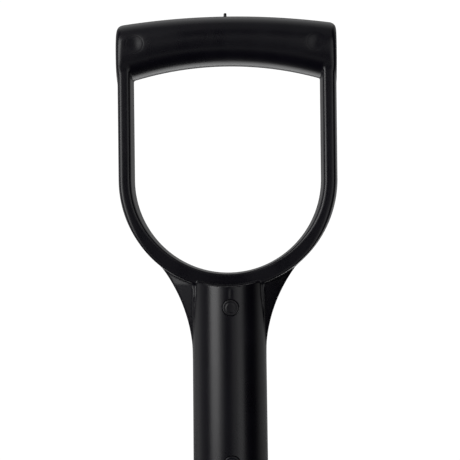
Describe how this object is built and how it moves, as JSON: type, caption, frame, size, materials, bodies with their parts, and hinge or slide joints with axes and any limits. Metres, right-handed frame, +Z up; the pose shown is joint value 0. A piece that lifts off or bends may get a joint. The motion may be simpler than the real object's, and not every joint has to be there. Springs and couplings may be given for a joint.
{
  "type": "round point shovel",
  "caption": "Round point digging shovel with a moulded D-grip, fibreglass shaft and open-back steel blade with forward-turned foot steps.",
  "frame": {"origin": "middle of the crossbar's underside, where the tool hangs on a peg", "axes": "+Z up along the shaft towards the crossbar, +X to the right along the crossbar, the blade's hollow face and the pictured face of the grip look along -Y"},
  "size_m": [0.2222, 0.079, 1.041],
  "materials": {
    "grip_plastic": "satin moulded black polypropylene",
    "pin_plastic": "satin moulded black nylon",
    "shaft_fibreglass": "black pultruded fibreglass, semi-gloss, faint lengthwise fibres",
    "core_wood": "plain hardwood",
    "blade_steel": "black powder coat, bare ground edge at the point",
    "collar_steel": "black powder coat",
    "rivet_steel": "zinc-plated steel"
  },
  "bodies": {
    "root": {"d_grip": "grip_plastic", "grip_pins": "pin_plastic", "shaft": "shaft_fibreglass", "upper_core": "core_wood", "lower_core": "core_wood", "blade": "blade_steel", "collar": "collar_steel", "socket_rivets": "rivet_steel"}
  },
  "joints": []
}
